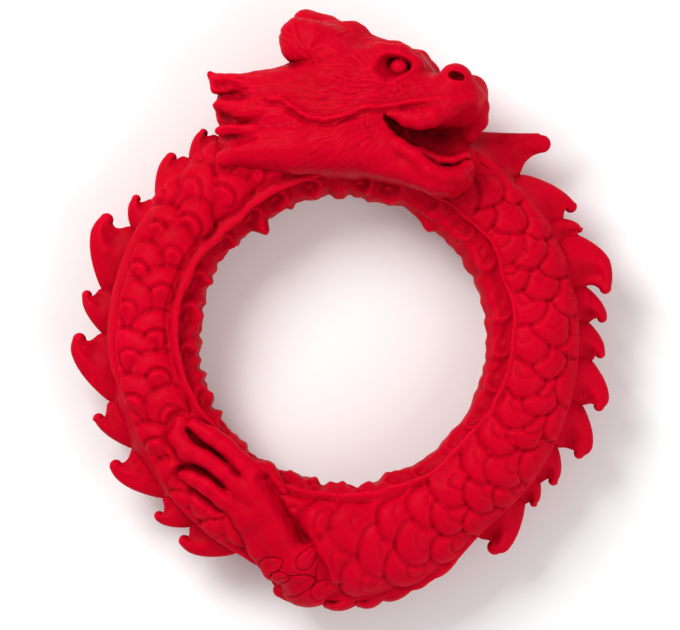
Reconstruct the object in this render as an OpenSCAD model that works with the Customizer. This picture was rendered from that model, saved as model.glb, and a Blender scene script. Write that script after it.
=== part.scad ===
// Dragon ring: a soft elastomer ring in the form of a dragon curled round on itself.
// +Z is up when the ring lies flat, the hole runs along Z and its centre is the origin.
// The head lies across the ring at +Y and looks along +X, turned a little towards +Z.
// The real ring is one moulding. Each node here is one moulded feature, and it meets the
// next face to face, so that every feature stays a separate solid with its own name.

/* [Ring] */
// Clear diameter of the hole, unstretched
hole_d = 38; // [37:0.5:39]
// Radius of the circle that the middle of the body follows
coil_r = 25.4; // [25:0.1:25.8]
// Radius of the body's round section
body_r = 6.8; // [6.6:0.1:7]
// Thickness of the belly skin
belly_t = 1.2; // [1:0.1:1.6]
// Number of belly scutes round the hole
scute_count = 36; // [24:1:48]

/* [Scales] */
// Number of scales in a full circle of one column
scale_count = 34; // [28:1:36]
// Height of a scale above the body
scale_h = 0.6; // [0.4:0.1:0.8]
// Radius of the ball that a scale is cut from
scale_ball_r = 3; // [2.6:0.1:3.2]

/* [Crest] */
// Outer radius of the low crest that the fins stand on
crest_r = 33; // [32.8:0.1:33.4]
// Thickness of the crest
crest_t = 2.6; // [2:0.1:3]
// Thickness of a fin
fin_t = 2.2; // [1.6:0.1:2.4]

/* [Head] */
// Turn of the snout towards +Z, in degrees
head_yaw = 15; // [10:1:18]
// Lean of the crown towards -Z, in degrees
head_roll = 8; // [4:1:12]
// Radius of an eyeball
eye_r = 1.25; // [1:0.05:1.4]

/* [Hidden] */
hole_r = hole_d / 2;
belly_edge_deg = 115;   // the belly skin wraps the body from here to the same angle below
ridge_r = 0.6;          // radius of the bead along the belly skin's edge
scute_groove = [0.3, 0.45]; // width and depth of the groove between two belly scutes
scale_columns_deg = [96, 68, 40]; // angle of each column round the body's section, from outwards
head_pos = [-8, 30, 2]; // where the neck meets the head
crest_arc = [-237, 60]; // the crest runs between these angles round the ring
swell_pos = [0.1, -8.2]; // the crest swells out over the haunches, as a circle round this point
swell_r = 26.8;         // radius of that circle
swell_end_x = -10.5;    // where the swell stops, past the hind leg
organ_fn = 16;          // sides of the balls that organic parts are drawn with
chain_steps = 9;        // balls along one organic part
colour = "crimson";

// Fins, clockwise from under the jaw: the angle where the fin starts, the angle and the radius
// of its tip, and the angle where it ends
FINS = [
    [58, 43, 38.2, 44], [43.5, 29.5, 36.2, 29.5], [29.5, 24.4, 35.3, 24], [24, 10, 37.2, 12.2],
    [12.2, 3.4, 35.5, 4.3], [4.3, -4, 35.2, -4.3], [-4.3, -15.5, 36.5, -14.5],
    [-14.5, -26.4, 36.3, -25.7], [-25.7, -34.3, 34.5, -35], [-35, -41.2, 34.1, -42],
    [-42, -54.6, 36.0, -55], [-60, -67, 35.1, -68.5], [-68.5, -74.5, 35.6, -76],
    [-76, -80, 35.8, -82], [-82, -87, 36.2, -89], [-89, -94.5, 36.4, -97.5],
    [-97.5, -103, 35.8, -106], [-116, -129.3, 35.0, -128], [-128, -136.6, 34.7, -138],
    [-138, -151.5, 35.3, -152], [-152, -162.4, 35.0, -164.2], [-164.2, -181.5, 36.6, -179.7],
    [-179.7, -190, 35.4, -192.5], [-192.5, -208, 36.6, -206.5], [-206.5, -215, 34.0, -216],
    [-216, -227, 34.2, -228.5], [-228.5, -236, 34.0, -237]
];

function fin_name(i) = str("dorsal_fin_", i < 10 ? "0" : "", i);
function polar(r, a) = [r * cos(a), r * sin(a)];
function mix(a, b, t) = a + (b - a) * t;
// A point on the quadratic curve from a to c that b pulls on
function bend(a, b, c, t) = mix(mix(a, b, t), mix(b, c, t), t);
// The value that a list takes at t, from 0 at its start to 1 at its end
function along(list, t) = let (p = t * (len(list) - 1), i = min(floor(p), len(list) - 2))
    mix(list[i], list[i + 1], p - i);
function mirrored(p) = [p[0], p[1], -p[2], p[3]];

// ---------- shared shapes ----------

module body_section() {
    intersection() {
        translate([coil_r, 0]) circle(r = body_r, $fn = 128);
        translate([hole_r, -body_r]) square([2 * body_r, 2 * body_r]);
    }
}

// The belly skin's outline: the inner part of the body's section, belly_t thick
module belly_section() {
    edge_x = coil_r + body_r * cos(belly_edge_deg);
    difference() {
        body_section();
        translate([coil_r, 0]) circle(r = body_r - belly_t, $fn = 96);
        translate([edge_x, -body_r]) square([2 * body_r, 2 * body_r]);
    }
}

// The whole body as one plain ring, for other features to be cut back to
module body_envelope() {
    rotate_extrude($fn = 180) body_section();
}

// The outline that the crest reaches and the fins start from
module crest_outline() {
    circle(r = crest_r, $fn = 360);
    intersection() {
        translate(swell_pos) circle(r = swell_r, $fn = 360);
        translate([swell_end_x, -50]) square([50, 50]);
    }
}

// A flat sector where the crest and the fins stand, for the head and legs to be cut back to
module crest_zone() {
    rotate([0, 0, crest_arc[0]]) rotate_extrude(angle = crest_arc[1] - crest_arc[0], $fn = 96)
        translate([coil_r, -crest_t / 2]) square([20, crest_t]);
}

// Everything on the front (side 1) or the back (side -1) of the crest
module half_space(side) {
    translate([-50, -50, side > 0 ? crest_t / 2 : -crest_t / 2 - 50]) cube([100, 100, 50]);
}

// Balls [x, y, z, radius] joined in a row, spread evenly along a short list of stations
module chain(stations, steps = chain_steps) {
    balls = [for (i = [0:steps - 1]) along(stations, i / (steps - 1))];
    for (i = [0:steps - 2]) {
        hull() for (b = [balls[i], balls[i + 1]])
            translate([b[0], b[1], b[2]]) sphere(r = b[3], $fn = organ_fn);
    }
}

// The same with each ball doubled at +Z and -Z, for a wide form that is alike on both sides
module wide_chain(stations, steps = chain_steps) {
    balls = [for (i = [0:steps - 1]) along(stations, i / (steps - 1))];
    for (i = [0:steps - 2]) {
        hull() for (b = [balls[i], balls[i + 1]], side = [-1, 1])
            translate([b[0], b[1], side * b[2]]) sphere(r = b[3], $fn = organ_fn);
    }
}

module head_frame() {
    translate(head_pos) rotate([0, -head_yaw, 0]) rotate([-head_roll, 0, 0]) children();
}

// A part drawn in the head's own frame, cut back to the body and the crest
module head_part() {
    color(colour) difference() {
        head_frame() children();
        body_envelope();
        crest_zone();
    }
}

// ---------- body ----------

module body_core() {
    color(colour) rotate_extrude($fn = 96) difference() {
        body_section();
        belly_section();
    }
}

module belly_band() {
    pitch = 360 / scute_count;
    color(colour) difference() {
        rotate_extrude($fn = 96) belly_section();
        for (i = [0:scute_count - 1]) rotate([0, 0, (i + 0.5) * pitch])
            translate([hole_r - 1, -scute_groove[0] / 2, -body_r])
                cube([1 + scute_groove[1], scute_groove[0], 2 * body_r]);
    }
}

// The bead that borders the belly skin, on the front (side 1) or the back (side -1)
module belly_ridge(side) {
    bead = coil_r * [1, 0] + body_r * [cos(belly_edge_deg), side * sin(belly_edge_deg)];
    color(colour) rotate([0, 0, 105]) rotate_extrude(angle = 320, $fn = 96) difference() {
        translate(bead) circle(r = ridge_r, $fn = 32);
        body_section();
    }
}

module dorsal_crest() {
    color(colour) difference() {
        intersection() {
            translate([0, 0, -crest_t / 2]) linear_extrude(crest_t) crest_outline();
            crest_zone();
        }
        body_envelope();
    }
}

// True where a scale column runs free of the head and the leg; both lie over the body
function scale_is_clear(a) = let (t = (a + 360) % 360)
    !(t > 50 && t < 136) && !(t > 203 && t < 282);

module flank_scales(column, side) {
    phi = scale_columns_deg[column];
    pitch = 360 / scale_count;
    seat = body_r + scale_h - scale_ball_r;
    color(colour) mirror([0, 0, side < 0 ? 1 : 0]) difference() {
        for (i = [0:scale_count - 1]) {
            a = (i + 0.5 * (column % 2)) * pitch;
            if (scale_is_clear(a)) rotate([0, 0, a])
                translate([coil_r + seat * cos(phi), 0, seat * sin(phi)])
                    sphere(r = scale_ball_r, $fn = 64);
        }
        body_envelope();
    }
}

// One flame-shaped fin that sweeps clockwise, standing on the crest
module dorsal_fin(i) {
    start = FINS[i][0];
    tip = FINS[i][1];
    tip_r = FINS[i][2];
    end = FINS[i][3];
    root = crest_r - 0.6;
    tip_blunt = 1.1; // width of the tip in degrees of the ring
    bulge = min(0.9, (start - tip) / 12);
    out = [for (t = [0:0.125:1]) bend(polar(root, start),
        polar(tip_r + bulge, mix(start, tip, 0.55)), polar(tip_r, tip + tip_blunt), t)];
    back = [for (t = [0:0.25:1]) bend(polar(tip_r - 0.5, tip), polar(crest_r + 0.5, end + 1.2),
        polar(root, end), t)];
    color(colour) difference() {
        translate([0, 0, -fin_t / 2]) linear_extrude(fin_t) polygon(concat(out, back));
        translate([0, 0, -fin_t]) linear_extrude(2 * fin_t) crest_outline();
    }
}

// ---------- head, drawn in its own frame: +X to the snout, +Y to the crown, +Z to the near side ----------

SKULL_TOP = [[-4, 0.4, 2.6, 4.4], [2, 2.6, 2.4, 5.2], [8, 4.8, 2.2, 5.6], [13, 4.6, 2, 4.6],
    [16.5, 4, 2.2, 3.4]];
JOWL = [[-4, -4.4, 3.8, 3.6], [3, -4.2, 3.7, 4.2], [10, -4.4, 3.4, 4.2], [15, -5.2, 2.8, 3.4]];
MUZZLE = [[15, 3, 2.2, 3.5], [19, 2.2, 2.1, 3.3], [23, 2.5, 1.8, 3.1], [25.4, 2.4, 1.2, 2.7]];
UPPER_LIP = [[15.6, -0.2, 4, 1.4], [19, -0.9, 3.8, 1.6], [22, -0.6, 3.5, 1.7], [24.6, 0.6, 2.6, 1.6],
    [26.2, 1.4, 0.8, 1.5]];
LOWER_JAW = [[15, -6, 3, 2.6], [18.5, -7.6, 2.8, 2.4], [22, -8.9, 2.2, 2.3], [24.8, -8.8, 1.2, 2.1]];
LOWER_LIP = [[15.6, -4.2, 4, 1.2], [19.4, -6, 3.8, 1.2], [22, -7.6, 3.2, 1.2], [25, -7.4, 2.2, 1.1],
    [26, -6.6, 0.6, 1]];
TONGUE = [[16, -4, 0, 1.8], [20, -5.3, 0, 1.7], [23, -6, 0, 1.5], [24.8, -5.6, 0, 1.1]];
CROWN = [[3, 9.8, 0.8, 2], [7, 10.3, 0.9, 2], [10, 9.6, 0.9, 1.9], [12.6, 8.1, 1, 1.8],
    [15.5, 6.8, 1, 1.6]];
BROW = [[12, 7, 4, 1.4], [15, 7.9, 4.3, 1.5], [17.6, 7.6, 3.9, 1.3], [19.2, 6.3, 3.2, 1]];
EYE = [16.9, 5.6, 4.3];
NOSTRIL_WING = [[22.8, 4.6, 2.4, 1.7], [25, 4.5, 2.5, 1.8]];
NOSTRIL = [25, 4.9, 4.2];
EAR = [[8.5, 8, 2.9, 2.7], [5.5, 9.3, 3.3, 2.9], [2.9, 10.2, 3.6, 2.7]];
EAR_TIP_FAR = [[5.5, 11, 3, 2], [2.6, 13.2, 3.2, 1.7]];
// Each mane lobe: root, middle and tip
MANE = [
    [[2, 4.6, 4.6, 3], [-3, 4.4, 4.7, 2.4], [-7.8, 4.3, 4.6, 1.5]],
    [[2, 0.2, 5, 2.8], [-2.5, -0.3, 5.3, 2.3], [-6.6, -0.9, 5.6, 1.5]],
    [[2, -4.2, 4.9, 2.8], [-2, -4.6, 5.2, 2.2], [-6, -4.5, 5.8, 1.5]],
    [[4, -7.2, 4.2, 2.4], [-1, -7.4, 4.6, 2.1], [-5.8, -7.5, 5.2, 1.4]]
];
CHEEK_RIDGE = [[0.6, 1, 7.4, 0.7], [3, 0.1, 7.4, 0.7], [5.4, -1.3, 7.5, 0.7], [7.8, -1.5, 7.5, 0.7],
    [10.8, -0.8, 7, 0.7], [13.4, 0.4, 6.2, 0.7], [16.6, 0.5, 5.6, 0.7]];

module skull_form() {
    wide_chain(SKULL_TOP);
    wide_chain(JOWL);
}

module upper_jaw_form() {
    wide_chain(MUZZLE);
    chain(UPPER_LIP);
    chain([for (p = UPPER_LIP) mirrored(p)]);
}

module lower_jaw_form() {
    wide_chain(LOWER_JAW);
    chain(LOWER_LIP);
    chain([for (p = LOWER_LIP) mirrored(p)]);
}

module nostrils() {
    for (side = [-1, 1]) translate([NOSTRIL[0], NOSTRIL[1], side * NOSTRIL[2]])
        sphere(r = 0.8, $fn = organ_fn);
}

module brow_form() {
    chain(BROW);
    chain([for (p = BROW) mirrored(p)]);
}

// The mane lobes behind the cheek, near (side 1) or far (side -1)
module mane_form(side) {
    for (lobe = MANE) chain([for (p = lobe) [p[0], p[1], side * p[2], p[3]]], 5);
}

module skull() {
    head_part() skull_form();
}

module upper_jaw() {
    head_part() difference() {
        upper_jaw_form();
        skull_form();
        nostrils();
    }
}

module lower_jaw() {
    head_part() difference() {
        lower_jaw_form();
        skull_form();
        upper_jaw_form();
    }
}

module tongue() {
    head_part() difference() {
        chain(TONGUE);
        skull_form();
        upper_jaw_form();
        lower_jaw_form();
    }
}

module crown_ridge() {
    head_part() difference() {
        wide_chain(CROWN);
        skull_form();
    }
}

module brows() {
    head_part() difference() {
        brow_form();
        skull_form();
        upper_jaw_form();
        wide_chain(CROWN);
    }
}

module eyes() {
    head_part() difference() {
        for (side = [-1, 1]) translate([EYE[0], EYE[1], side * EYE[2]]) sphere(r = eye_r, $fn = 32);
        skull_form();
        upper_jaw_form();
        brow_form();
    }
}

module nostril_wings() {
    head_part() difference() {
        for (side = [-1, 1]) chain([for (p = NOSTRIL_WING) [p[0], p[1], side * p[2], p[3]]], 4);
        upper_jaw_form();
        nostrils();
    }
}

// One ear: near is +Z, far is -Z, which stands a little taller
module ear(side) {
    head_part() difference() {
        union() {
            chain([for (p = EAR) [p[0], p[1], side * p[2], p[3]]], 5);
            if (side < 0) chain([for (p = EAR_TIP_FAR) mirrored(p)], 5);
        }
        skull_form();
        wide_chain(CROWN);
    }
}

module mane(side) {
    head_part() difference() {
        mane_form(side);
        skull_form();
    }
}

module cheek_ridge() {
    head_part() difference() {
        chain(CHEEK_RIDGE);
        skull_form();
        upper_jaw_form();
        mane_form(1);
    }
}

// ---------- legs, mirrored on the front and back of the ring ----------

LEG = [[-1.5, -30, 2.2, 5.2], [-5.5, -30, 3.4, 4.6], [-8.5, -27, 4.6, 3.8], [-11, -23.6, 5, 3.2],
    [-13.2, -20.8, 5.2, 2.6]];
TOES = [
    [[-12.4, -18.4, 6, 1.5], [-16.4, -14, 6.3, 1.25], [-20, -11, 6, 0.9]],
    [[-13.8, -20, 6.4, 1.6], [-18, -16.4, 6.6, 1.5], [-21.8, -15.2, 5.8, 1.3], [-22.4, -11, 5.6, 0.9]],
    [[-12.6, -25, 5.8, 1.4], [-16, -21.4, 6.4, 1.3], [-21.3, -17.6, 5.8, 0.8]]
];

module leg_form(side) {
    chain([for (p = LEG) [p[0], p[1], side * p[2], p[3]]]);
}

module leg(side) {
    color(colour) intersection() {
        difference() {
            leg_form(side);
            body_envelope();
        }
        half_space(side);
    }
}

module toes(side) {
    color(colour) difference() {
        for (toe = TOES) chain([for (p = toe) [p[0], p[1], side * p[2], p[3]]]);
        leg_form(side);
        body_envelope();
    }
}

// ---------- nodes ----------

body_core();
belly_band();
belly_ridge(1);  // belly_ridge_front
belly_ridge(-1);  // belly_ridge_back
dorsal_crest();
for (c = [1:len(scale_columns_deg)]) {
    flank_scales(c - 1, 1);
    flank_scales(c - 1, -1);
}
for (i = [1:len(FINS)])
    dorsal_fin(i - 1);
skull();
upper_jaw();
lower_jaw();
tongue();
crown_ridge();
brows();
eyes();
nostril_wings();
ear(1);  // ear_near
ear(-1);  // ear_far
mane(1);  // mane_near
mane(-1);  // mane_far
cheek_ridge();
leg(1);  // leg_front
leg(-1);  // leg_back
toes(1);  // toes_front
toes(-1);  // toes_back
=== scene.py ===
"""Looks for the dragon ring: one soft red moulding, rebuilt as detailed pieces round the CAD frame.

Shapes are worked out in millimetres and become metres in add_piece. The ring's skin is one relief
over (theta, phi): theta goes round the ring, and phi round the body's section, from outwards over
the top. The head and the legs are fields of smoothly joined balls, cut into one piece a feature.
"""
import bpy
import math
import numpy as np
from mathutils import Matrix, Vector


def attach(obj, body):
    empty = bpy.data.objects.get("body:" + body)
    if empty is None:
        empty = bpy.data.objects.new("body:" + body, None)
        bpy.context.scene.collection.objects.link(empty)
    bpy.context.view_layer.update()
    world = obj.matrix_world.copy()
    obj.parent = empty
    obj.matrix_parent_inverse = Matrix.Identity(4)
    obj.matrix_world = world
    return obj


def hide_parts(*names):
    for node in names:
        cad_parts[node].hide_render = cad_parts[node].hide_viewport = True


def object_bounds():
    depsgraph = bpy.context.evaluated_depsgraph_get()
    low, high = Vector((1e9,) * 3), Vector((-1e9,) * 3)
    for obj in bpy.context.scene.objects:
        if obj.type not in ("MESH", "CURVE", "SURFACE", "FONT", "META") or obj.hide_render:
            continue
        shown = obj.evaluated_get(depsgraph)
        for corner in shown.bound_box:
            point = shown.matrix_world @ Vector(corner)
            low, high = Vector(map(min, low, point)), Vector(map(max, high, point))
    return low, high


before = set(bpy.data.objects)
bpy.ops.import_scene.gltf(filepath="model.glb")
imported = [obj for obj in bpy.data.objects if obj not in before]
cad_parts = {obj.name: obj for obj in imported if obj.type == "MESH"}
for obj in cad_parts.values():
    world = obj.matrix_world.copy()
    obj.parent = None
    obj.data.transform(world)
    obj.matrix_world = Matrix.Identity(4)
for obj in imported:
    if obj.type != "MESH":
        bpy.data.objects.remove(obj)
cad_low, cad_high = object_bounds()
MM = 0.001
DEG = math.radians(1)
random = np.random.default_rng(11)

# ---- the ring's main sizes, as in the CAD ----
COIL_R = 25.4           # the circle that the middle of the body follows
BODY_R = 6.8            # the body's section
HOLE_R = 19.0
CORE_R = 5.2            # the plain core that the skin pieces sit on
THETA_STEPS = 1260      # samples round the ring
PHI_STEP = 1.3          # degrees between samples round the section
SCALE_COLUMNS = (96, 67, 38)        # each column's angle round the section
SCALE_FIRST, SCALE_LAST = 60, 417   # the angles round the ring that a column's scales start between
SCALE_PITCH = 10.6                  # degrees from scale to scale on the right, and more on the left
SCALE_HALF, SCALE_TIP = 2.8, 2.6    # a scale's half width, and its reach from the middle to the rim
SCALE_HEIGHT = 1.15
BEAD_PHI = 25           # the bead that the fins come out from under
RIDGE_PHI = 115         # the bead along the belly skin
# Where those beads run, as pairs: angle round the ring, and angle round the section
BEAD_PATH = [(70, 36), (54, 40), (38, 27), (20, 25), (-54, 25), (-62, 17), (-75, 12),
             (-103, 12), (-112, 22), (-130, 31), (-140, 36),
             (-147, 45), (-166, 45), (-174, 38), (-206, 38), (-216, 29), (-250, 25)]
RIDGE_PATH = [(90, 116), (70, 114), (46, 109), (31, 100), (21, 112), (12, 104), (2, 112), (-9, 113),
              (-25, 119), (-40, 128), (-55, 123), (-68, 129), (-90, 131), (-130, 131), (-144, 130),
              (-152, 127), (-161, 123), (-173, 119), (-184, 115), (-193, 113), (-210, 119), (-227, 126),
              (-241, 120), (-256, 116)]
CURL_COUNT = 25
CURL_RING_R = 21.2      # the circle that the belly skin's curls sit on
CURL_PHI = 20           # how many degrees past the ridge they sit
CURL_R = 1.3
TABS = ((124, 2.0), (52, 0.9))      # angle round the ring, and reach


# ---- small functions ----
def ramp(low, high, x):
    """0 below low, 1 above high, and smooth between."""
    t = np.clip((x - low) / (high - low), 0, 1)
    return t * t * (3 - 2 * t)


def bump(x, width):
    """A rounded bump, 1 where x is 0."""
    return np.exp(-(x / width) ** 2)


def turn(degrees):
    """The same angle, brought to -180 to 180."""
    return (degrees + 180) % 360 - 180


def flat_point(angle, radius):
    """A point in the ring's plane from its angle and radius."""
    return (radius * math.cos(math.radians(angle)), radius * math.sin(math.radians(angle)))


def along(path, angle):
    """A value that changes round the ring, from pairs of angle and value, with its corners eased."""
    at, value = np.array(path, dtype=float).T
    return sum(np.interp(angle + k, at, value, period=360) for k in (-4, -2, 0, 2, 4)) / 5


NOISE_SIZE = 32
NOISE_TABLE = random.random((NOISE_SIZE, NOISE_SIZE, NOISE_SIZE))


def noise(x, y, z=0.0):
    """Smooth noise from -1 to 1, with about one bump a unit, repeating every NOISE_SIZE units."""
    x, y, z = np.broadcast_arrays(x, y, z)
    cell = [np.floor(v).astype(int) for v in (x, y, z)]
    part = [v - c for v, c in zip((x, y, z), cell)]
    part = [p * p * (3 - 2 * p) for p in part]
    total = 0.0
    for corner in np.ndindex(2, 2, 2):
        weight = 1.0
        for p, c in zip(part, corner):
            weight = weight * (p if c else 1 - p)
        index = tuple((c + k) % NOISE_SIZE for c, k in zip(cell, corner))
        total = total + weight * NOISE_TABLE[index]
    return 2 * total - 1


def ring_noise(angle, wavelength, z):
    """Noise round the ring that closes on itself. wavelength is in degrees."""
    reach = 180 / math.pi / wavelength
    return noise(reach * np.cos(np.radians(angle)), reach * np.sin(np.radians(angle)) + 7.3, z)


def add_piece(name, points, faces, nodes):
    """A closed mesh of quads, from points in millimetres, that stands for some CAD nodes."""
    points = np.asarray(points, dtype=float)
    faces = np.asarray(faces, dtype=np.int32)
    mesh = bpy.data.meshes.new(name)
    mesh.vertices.add(len(points))
    mesh.vertices.foreach_set("co", (points * MM).ravel())
    mesh.loops.add(faces.size)
    mesh.loops.foreach_set("vertex_index", faces.ravel())
    mesh.polygons.add(len(faces))
    mesh.polygons.foreach_set("loop_start", np.arange(0, faces.size, 4, dtype=np.int32))
    mesh.update(calc_edges=True)
    mesh.shade_smooth()
    mesh.materials.append(SILICONE)
    piece = bpy.data.objects.new(name, mesh)
    bpy.context.collection.objects.link(piece)
    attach(piece, "root")
    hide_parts(*nodes)


def tube_faces(rows, columns):
    """Quads over a grid of points that closes on itself both ways."""
    i, j = np.meshgrid(np.arange(rows), np.arange(columns), indexing="ij")
    i2, j2 = (i + 1) % rows, (j + 1) % columns
    quads = [a * columns + b for a, b in ((i, j), (i2, j), (i2, j2), (i, j2))]
    return np.stack(quads, axis=-1).reshape(-1, 4)


# ---- material ----
DARK_RED, LIGHT_RED = (0.56, 0.0, 0.013), (0.66, 0.0003, 0.019)
# Painted shade: the colours that creases and deep hollows are darkened to, and none elsewhere
PAINTED_CREASE_SHADE, PAINTED_HOLLOW_SHADE, NO_SHADE = (0.46, 0.36, 0.36), (0.26, 0.2, 0.2), (1.0, 1.0, 1.0)


def silicone_material():
    """Matte red silicone: slightly translucent, with a fine grain, and painted shade darkening its creases
    and hollows.
    """
    mat = bpy.data.materials.new("red_silicone")
    mat.use_nodes = True
    tree = mat.node_tree
    tree.nodes.clear()
    link = tree.links.new

    def node(kind, **inputs):
        made = tree.nodes.new(kind)
        for key, value in inputs.items():
            made.inputs[key.replace("_", " ")].default_value = value
        return made

    def colour_ramp(source, low, low_colour, high, high_colour):
        """Turns a value into a colour, from one at low to another at high."""
        made = node("ShaderNodeValToRGB")
        for element, at, colour in zip(made.color_ramp.elements, (low, high), (low_colour, high_colour)):
            element.position = at
            element.color = (*colour, 1)
        link(source, made.inputs["Fac"])
        return made.outputs["Color"]

    output = node("ShaderNodeOutputMaterial")
    shader = node("ShaderNodeBsdfPrincipled", Subsurface_Weight=0.08, Subsurface_Scale=0.0004,
                  Subsurface_Radius=(1.0, 0.15, 0.1), Specular_IOR_Level=0.025)
    link(shader.outputs["BSDF"], output.inputs["Surface"])

    place = node("ShaderNodeTexCoord")
    cloud = node("ShaderNodeTexNoise", Scale=90.0, Detail=4.0, Roughness=0.55)
    link(place.outputs["Object"], cloud.inputs["Vector"])
    tint = colour_ramp(cloud.outputs["Fac"], 0.3, DARK_RED, 0.7, LIGHT_RED)

    # Painted shade: creases are darkened by pointiness, and deep hollows such as the mouth by ambient
    # occlusion.
    shape = node("ShaderNodeNewGeometry")
    creases = colour_ramp(shape.outputs["Pointiness"], 0.42, PAINTED_CREASE_SHADE, 0.53, NO_SHADE)
    # Painted shade: ambient occlusion darkens deep hollows such as the mouth and the belly channel
    deep = node("ShaderNodeAmbientOcclusion", Distance=0.006)
    deep.samples = 6
    hollows = colour_ramp(deep.outputs["AO"], 0.1, PAINTED_HOLLOW_SHADE, 0.75, NO_SHADE)
    last = tint
    for layer in (creases, hollows):
        colour = node("ShaderNodeMix")
        colour.data_type = "RGBA"
        colour.blend_type = "MULTIPLY"
        colour.inputs["Factor"].default_value = 1.0
        link(last, colour.inputs["A"])
        link(layer, colour.inputs["B"])
        last = colour.outputs["Result"]
    link(last, shader.inputs["Base Color"])

    grain = node("ShaderNodeTexNoise", Scale=2600.0, Detail=3.0, Roughness=0.6)
    link(place.outputs["Object"], grain.inputs["Vector"])
    rough = node("ShaderNodeMapRange", From_Min=0.3, From_Max=0.7, To_Min=0.42, To_Max=0.54)
    link(grain.outputs["Fac"], rough.inputs["Value"])
    link(rough.outputs["Result"], shader.inputs["Roughness"])
    relief = node("ShaderNodeBump", Strength=0.25, Distance=0.00005)
    link(grain.outputs["Fac"], relief.inputs["Height"])
    link(relief.outputs["Normal"], shader.inputs["Normal"])
    return mat


SILICONE = silicone_material()


# ---- fields: distances to smoothly joined balls ----
def join(a, b, k):
    """The union of two fields, smoothed over k millimetres."""
    h = np.clip(0.5 + 0.5 * (b - a) / k, 0, 1)
    return b + (a - b) * h - k * h * (1 - h)


def carve(a, b, k):
    """Field a with b cut out of it, smoothed over k millimetres."""
    return -join(-a, b, k)


def chain(p, stations, k=0.4, across=False):
    """Balls (x, y, z, radius) joined in a row."""
    x, y, z = p
    field = None
    for (ax, ay, az, ar), (bx, by, bz, br) in zip(stations[:-1], stations[1:]):
        dx, dy, dz = bx - ax, by - ay, 0 if across else bz - az
        t = (x - ax) * dx + (y - ay) * dy + (0 if across else (z - az) * dz)
        t = np.clip(t / (dx * dx + dy * dy + dz * dz), 0, 1)
        side = np.maximum(np.abs(z) - az - t * (bz - az), 0) if across else z - az - t * dz
        d = np.sqrt((x - ax - t * dx) ** 2 + (y - ay - t * dy) ** 2 + side ** 2) - ar - t * (br - ar)
        field = d if field is None else join(field, d, k)
    return field


def wide(p, stations):
    """A row of balls that reaches across from -z to z."""
    return chain(p, stations, across=True)


def ball(p, x, y, z, r):
    """One ball."""
    return np.sqrt((p[0] - x) ** 2 + (p[1] - y) ** 2 + (p[2] - z) ** 2) - r


def far(stations):
    """The same stations on the far side."""
    return [(x, y, -z, r) for x, y, z, r in stations]


def in_line(x, y, middle, degrees):
    """Distances from a middle, along a direction and across it."""
    a = math.radians(degrees)
    dx, dy = x - middle[0], y - middle[1]
    return dx * math.cos(a) + dy * math.sin(a), dy * math.cos(a) - dx * math.sin(a)


def line_distance(x, y, line):
    """Distance in the xy plane to a bent line."""
    best = None
    for (ax, ay), (bx, by) in zip(line[:-1], line[1:]):
        t = np.clip(((x - ax) * (bx - ax) + (y - ay) * (by - ay)) / ((bx - ax) ** 2 + (by - ay) ** 2), 0, 1)
        d = np.hypot(x - ax - t * (bx - ax), y - ay - t * (by - ay))
        best = d if best is None else np.minimum(best, d)
    return best


# ---- the leg's shape: stations x, y, z and radius ----
LEG = [(-4.6, -31.6, 0.5, 4.4), (-6.6, -28.6, 2.9, 4.2), (-8.5, -25.5, 4.4, 3.6), (-10.0, -22.5, 5, 3.1),
       (-11.2, -20, 5.2, 2.7)]
WRIST = [(-10.2, -17.6, 4.9, 1.3), (-8.8, -20.2, 4.9, 1.2)]
# The shadowed hollow between the forearm and the body
ARM_HOLLOW = [(-10.4, -18.8), (-7.8, -22.4), (-5.4, -26.6)]
OUTER_EDGE = [(-15.4, -21.8, 5.8, 1), (-13.2, -24.6, 5.4, 1.2), (-11.2, -28, 4.4, 1.5),
              (-9.4, -30.4, 3, 1.8)]
# Leaf scales over the haunch: x, y, lean, length and half width
HAUNCH_SCALES = [(-9.6, -30.3, 20, 1.5, 1.1), (-4.6, -29.1, 50, 1.9, 0.95), (-6.0, -32.9, 18, 2.4, 1.2),
                 (-2.1, -30.8, 65, 1.9, 1.0), (-8.4, -31.9, 0, 1.2, 0.7), (-2.6, -33.4, 40, 1.8, 1.0)]
TOES = [
    [(-11.4, -19.4, 6, 1.5), (-13.8, -16.4, 6.7, 1.5), (-15.8, -14.3, 6.9, 1.4), (-17.8, -12.8, 6.8, 1.3),
     (-20, -11.5, 6.2, 1.05)],
    [(-13.2, -20.4, 6, 1.7), (-16.1, -17.6, 6.8, 1.6), (-18.4, -15.9, 7, 1.55), (-20.6, -14.9, 6.8, 1.5),
     (-22, -13.1, 6.2, 1.4), (-21.8, -11, 5.7, 1.2)],
    [(-13.2, -23.4, 5.7, 1.5), (-15.8, -21.3, 6.5, 1.4), (-18.1, -19.5, 6.7, 1.3), (-19.9, -18.5, 6.3, 1.15),
     (-21.3, -18.1, 5.8, 0.9)]
]
# The hollows beside the toes
TOE_GROOVES = [[(-20.7, -12.2), (-19.6, -13.6), (-17.9, -14.7), (-16.3, -15.6), (-14.9, -17), (-14.1, -18)],
               [(-21.7, -17.1), (-19.8, -16.9), (-18.1, -17.6), (-16.6, -19.1), (-15.6, -20.6)],
               [(-20.3, -20), (-16.5, -22.6)]]


def leg_cover(x, y):
    """How far a place on the ring lies from the leg and toes, looking along the hole."""
    flat = [[(a, b, 0, r) for a, b, _, r in stations] for stations in (OUTER_EDGE, *TOES)]
    flat.append([(a, b, 0, 0.55 * r) for a, b, _, r in LEG])
    # The gaps between the toes are covered as well
    flat.append([(-14.5, -19, 0, 1.6), (-16.5, -19.5, 0, 1.2), (-18, -17.8, 0, 1)])
    flat.append([(-16.5, -16, 0, 0.9), (-19.5, -13.6, 0, 0.9)])
    return np.minimum.reduce([chain((x, y, 0 * x), stations) for stations in flat])


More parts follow.
